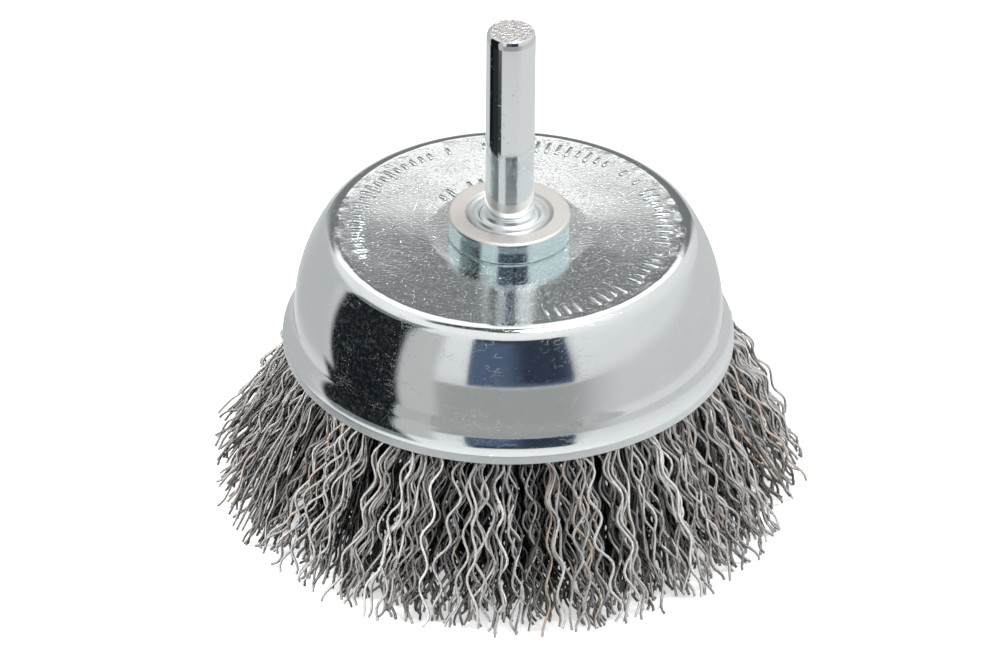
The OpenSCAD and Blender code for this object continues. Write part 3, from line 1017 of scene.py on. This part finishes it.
def wire_tree():
    tree = bpy.data.node_groups.new("crimped_wires", "GeometryNodeTree")
    inputs_of(tree, {
        "Wires": WIRES_PER_SECTOR, "First Angle": 0.0, "Angle Span": 2 * pi / SECTORS,
        "Wire Radius": WIRE_R, "Wave Length": WAVE_LENGTH, "Wave Depth": WAVE_DEPTH,
        "Ring Radius": RING_R, "Ring Level": RING_Z, "Core Radius": CORE_R,
        "Throat In": PLATE_R + THROAT_GAP, "Throat Out": RIM_R - FLARE_OUT - SHEET - THROAT_GAP,
        "Throat Level": PLATE_Z, "Tip In": HOLLOW_R, "Tip Out": BRUSH_R - 0.6,
        "Tip Scatter": 2.4, "Bow": 0.0, "Seed": 0})
    g = Graph(tree)
    size = g.node("NodeGroupInput").outputs
    line = g.node("GeometryNodeCurvePrimitiveLine")
    points = g.node("GeometryNodeResampleCurve")
    g.put(points.inputs["Curve"], line.outputs[0])
    g.put(points.inputs["Count"], WIRE_POINTS)
    copies = g.node("GeometryNodeDuplicateElements", domain="SPLINE")
    g.put(copies.inputs["Geometry"], points.outputs[0])
    g.put(copies.inputs["Amount"], size["Wires"])
    number = copies.outputs["Duplicate Index"]
    clump = g.math("FLOOR", g.math("DIVIDE", number, float(WIRES_PER_CLUMP)))

    def own(low, high, salt):
        return random_value(g, low, high, g.add(g.mul(size["Seed"], 31.0), float(salt)), number)

    def shared(low, high, salt):
        return random_value(g, low, high, g.add(g.mul(size["Seed"], 31.0), float(salt)), clump)

    # Place of the leg in the ring: angle, and depth from the inside (0) to the outside (1)
    # Clumps are dealt out evenly, like the seeds of a sunflower: steps of the golden ratio
    row = g.math("FRACT", g.mul(g.add(clump, g.mul(size["Seed"], 0.37)), GOLDEN))
    depth = g.add(g.math("POWER", row, 0.8), own(-0.06, 0.04, 2))
    depth = g.math("MINIMUM", 1.0, g.math("MAXIMUM", 0.0, depth))
    clumps = g.math("DIVIDE", size["Wires"], float(WIRES_PER_CLUMP))
    place = g.math("DIVIDE", g.add(clump, shared(0.0, 1.0, 3)), clumps)
    angle = g.add(size["First Angle"], g.mul(place, size["Angle Span"]))
    stray = g.smooth(own(0.0, 1.0, 4), 0.8, 1.0, 0.0, 1.0)
    fan = g.add(own(-0.034, 0.034, 5), g.mul(own(-0.10, 0.10, 6), stray))

    def ring_radius(inner, outer):
        """Radius at that depth, so that the wires fill the ring evenly by area."""
        low, high = g.mul(inner, inner), g.mul(outer, outer)
        return g.math("SQRT", g.lerp(low, high, depth))

    throat = ring_radius(size["Throat In"], size["Throat Out"])
    tip = g.add(ring_radius(size["Tip In"], size["Tip Out"]), own(-0.7, 0.7, 7))
    tip_level = g.mul(g.math("POWER", own(0.0, 1.0, 8), 2.2), size["Tip Scatter"])

    # The hairpin's fold: from the top of the ring a quarter turn down to the leg's side of it
    step = g.node("GeometryNodeSplineParameter").outputs["Index"]
    side = g.smooth(depth, 0.499, 0.501, -1.0, 1.0)
    fold_r = g.add(g.add(size["Core Radius"], 0.3),
                   g.mul(g.math("ABSOLUTE", g.sub(depth, 0.5)), 6.0))
    fold_turn = g.mul(g.math("MINIMUM", step, 2.0), pi / 4)
    fold_x = g.add(size["Ring Radius"], g.mul(side, g.mul(fold_r, g.math("SINE", fold_turn))))
    fold_z = g.add(size["Ring Level"], g.mul(fold_r, g.math("COSINE", fold_turn)))

    # The free leg: from the throat to the tip, splaying a little more towards the end
    run = g.math("MAXIMUM", 0.0, g.math("DIVIDE", g.sub(step, 3.0), WIRE_POINTS - 4.0))
    bend = g.add(own(-3.0, 3.0, 9), g.mul(size["Bow"], g.mul(4.0, depth)))
    bow = g.mul(g.mul(run, g.sub(1.0, run)), bend)
    leg_x = g.add(g.lerp(throat, tip, run), bow)
    leg_z = g.lerp(size["Throat Level"], tip_level, run)
    free = g.math("GREATER_THAN", step, 2.5)
    across = g.lerp(fold_x, leg_x, free)
    level = g.lerp(fold_z, leg_z, free)

    # The crimp: a wave along the leg in a plane of its own, in step within a clump
    length = g.mul(run, g.sub(size["Throat Level"], tip_level))
    pace = g.mul(size["Wave Length"], own(0.9, 1.1, 10))
    phase = g.add(shared(0.0, 2 * pi, 11), g.add(own(-1.0, 1.0, 12), g.mul(stray, own(-3, 3, 19))))
    swing = g.math("SINE", g.add(g.mul(g.math("DIVIDE", length, pace), 2 * pi), phase))
    stroll = g.add(g.mul(length, g.math("DIVIDE", 2 * pi, own(11, 22, 22))), own(0.0, 2 * pi, 23))
    stroll = g.mul(g.mul(g.math("SINE", stroll), own(0.1, 0.8, 24)), run)
    reach = g.mul(g.mul(size["Wave Depth"], own(0.75, 1.2, 13)), g.smooth(run, 0.0, 0.14))
    plane = g.add(shared(-0.9, 0.9, 14), own(-0.4, 0.4, 15))
    sideways = g.mul(g.mul(swing, reach), g.math("COSINE", plane))
    outward = g.mul(g.mul(swing, reach), g.math("SINE", plane))
    lean = g.add(shared(-2.2, 2.2, 16), own(-1.6, 1.6, 20))
    drift = g.mul(g.mul(run, run), g.add(lean, g.mul(own(-4.0, 4.0, 17), stray)))
    radius = g.add(across, outward)
    sideways = g.add(g.add(sideways, drift), stroll)
    turn = g.add(angle, fan)
    east, north = g.math("COSINE", turn), g.math("SINE", turn)
    x = g.sub(g.mul(radius, east), g.mul(sideways, north))
    y = g.add(g.mul(radius, north), g.mul(sideways, east))
    level = g.math("MAXIMUM", level, size["Wire Radius"])
    bent = g.node("GeometryNodeSetPosition")
    g.put(bent.inputs["Geometry"], copies.outputs["Geometry"])
    g.put(bent.inputs["Position"], g.join(g.mul(x, MM), g.mul(y, MM), g.mul(level, MM)))

    toned = g.node("GeometryNodeStoreNamedAttribute", data_type="FLOAT", domain="CURVE")
    g.put(toned.inputs["Geometry"], bent.outputs[0])
    toned.inputs["Name"].default_value = "wire_tone"
    g.put(toned.inputs["Value"], own(0.0, 1.0, 18))
    # Painted shade: wires in the middle of the filling get 0 and are painted nearly black; the outer and
    # innermost wires and the tips stay bright
    outside = g.smooth(g.add(depth, own(-0.12, 0.12, 21)), 0.70, 1.0)
    inside = g.smooth(depth, 0.16, 0.04)
    end = g.smooth(run, 0.75, 1.0, 0.0, 0.4)
    shown = g.math("MAXIMUM", g.math("MAXIMUM", outside, inside), end)
    out_of_painted_shade = g.node("GeometryNodeStoreNamedAttribute", data_type="FLOAT", domain="POINT")
    g.put(out_of_painted_shade.inputs["Geometry"], toned.outputs[0])
    out_of_painted_shade.inputs["Name"].default_value = "wire_out_of_painted_shade"
    g.put(out_of_painted_shade.inputs["Value"], shown)
    section = g.node("GeometryNodeCurvePrimitiveCircle")
    g.put(section.inputs["Resolution"], WIRE_SIDES)
    g.put(section.inputs["Radius"], g.mul(size["Wire Radius"], MM))
    body = g.node("GeometryNodeCurveToMesh")
    g.put(body.inputs["Curve"], out_of_painted_shade.outputs[0])
    g.put(body.inputs["Profile Curve"], section.outputs[0])
    body.inputs["Fill Caps"].default_value = True
    smooth = g.node("GeometryNodeSetShadeSmooth")
    g.put(smooth.inputs["Geometry"], body.outputs[0])
    finish_tree(g, smooth.outputs[0], wire)
    return tree


# %% [markdown]
# One piece is grown for each of the model's sixteen wire nodes, which it then replaces. Each
# sector has its own seed, so no two look alike.

# %% Growing the wires
SECTOR_START = -0.05
BOW_OUT, BOW_OUT_AT, BOW_OUT_WIDTH = 1.5, 25, 45
BOW_IN, BOW_IN_AT, BOW_IN_WIDTH = -1.1, 165, 40


def bow_at(degree):
    """How far the wires bow outwards at this compass angle, in millimetres."""
    out = max(0.0, 1 - abs(degree - BOW_OUT_AT) / BOW_OUT_WIDTH)
    back_in = max(0.0, 1 - abs(degree - BOW_IN_AT) / BOW_IN_WIDTH)
    return BOW_OUT * out + BOW_IN * back_in


tree = wire_tree()
for k in range(SECTORS):
    name = f"wires_{k + 1:02d}"
    first = SECTOR_START + 2 * pi * k / SECTORS
    middle = degrees(first + pi / SECTORS)
    wires = grow(f"crimped_{name}", tree, {"First Angle": first, "Seed": k + 1, "Bow": bow_at(middle)})
    dress(wires, wire, "crimped_wire", name)

# %% [markdown]
# The last step writes down how large the dressed brush is beside the model, as a check that the
# looks haven't outgrown the part.

# %% Sizes and finish
seen_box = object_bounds()
for label, (low, high) in (("model", cad_box), ("dressed", seen_box)):
    print(label, [round((b - a) / MM, 2) for a, b in zip(low, high)], "mm")
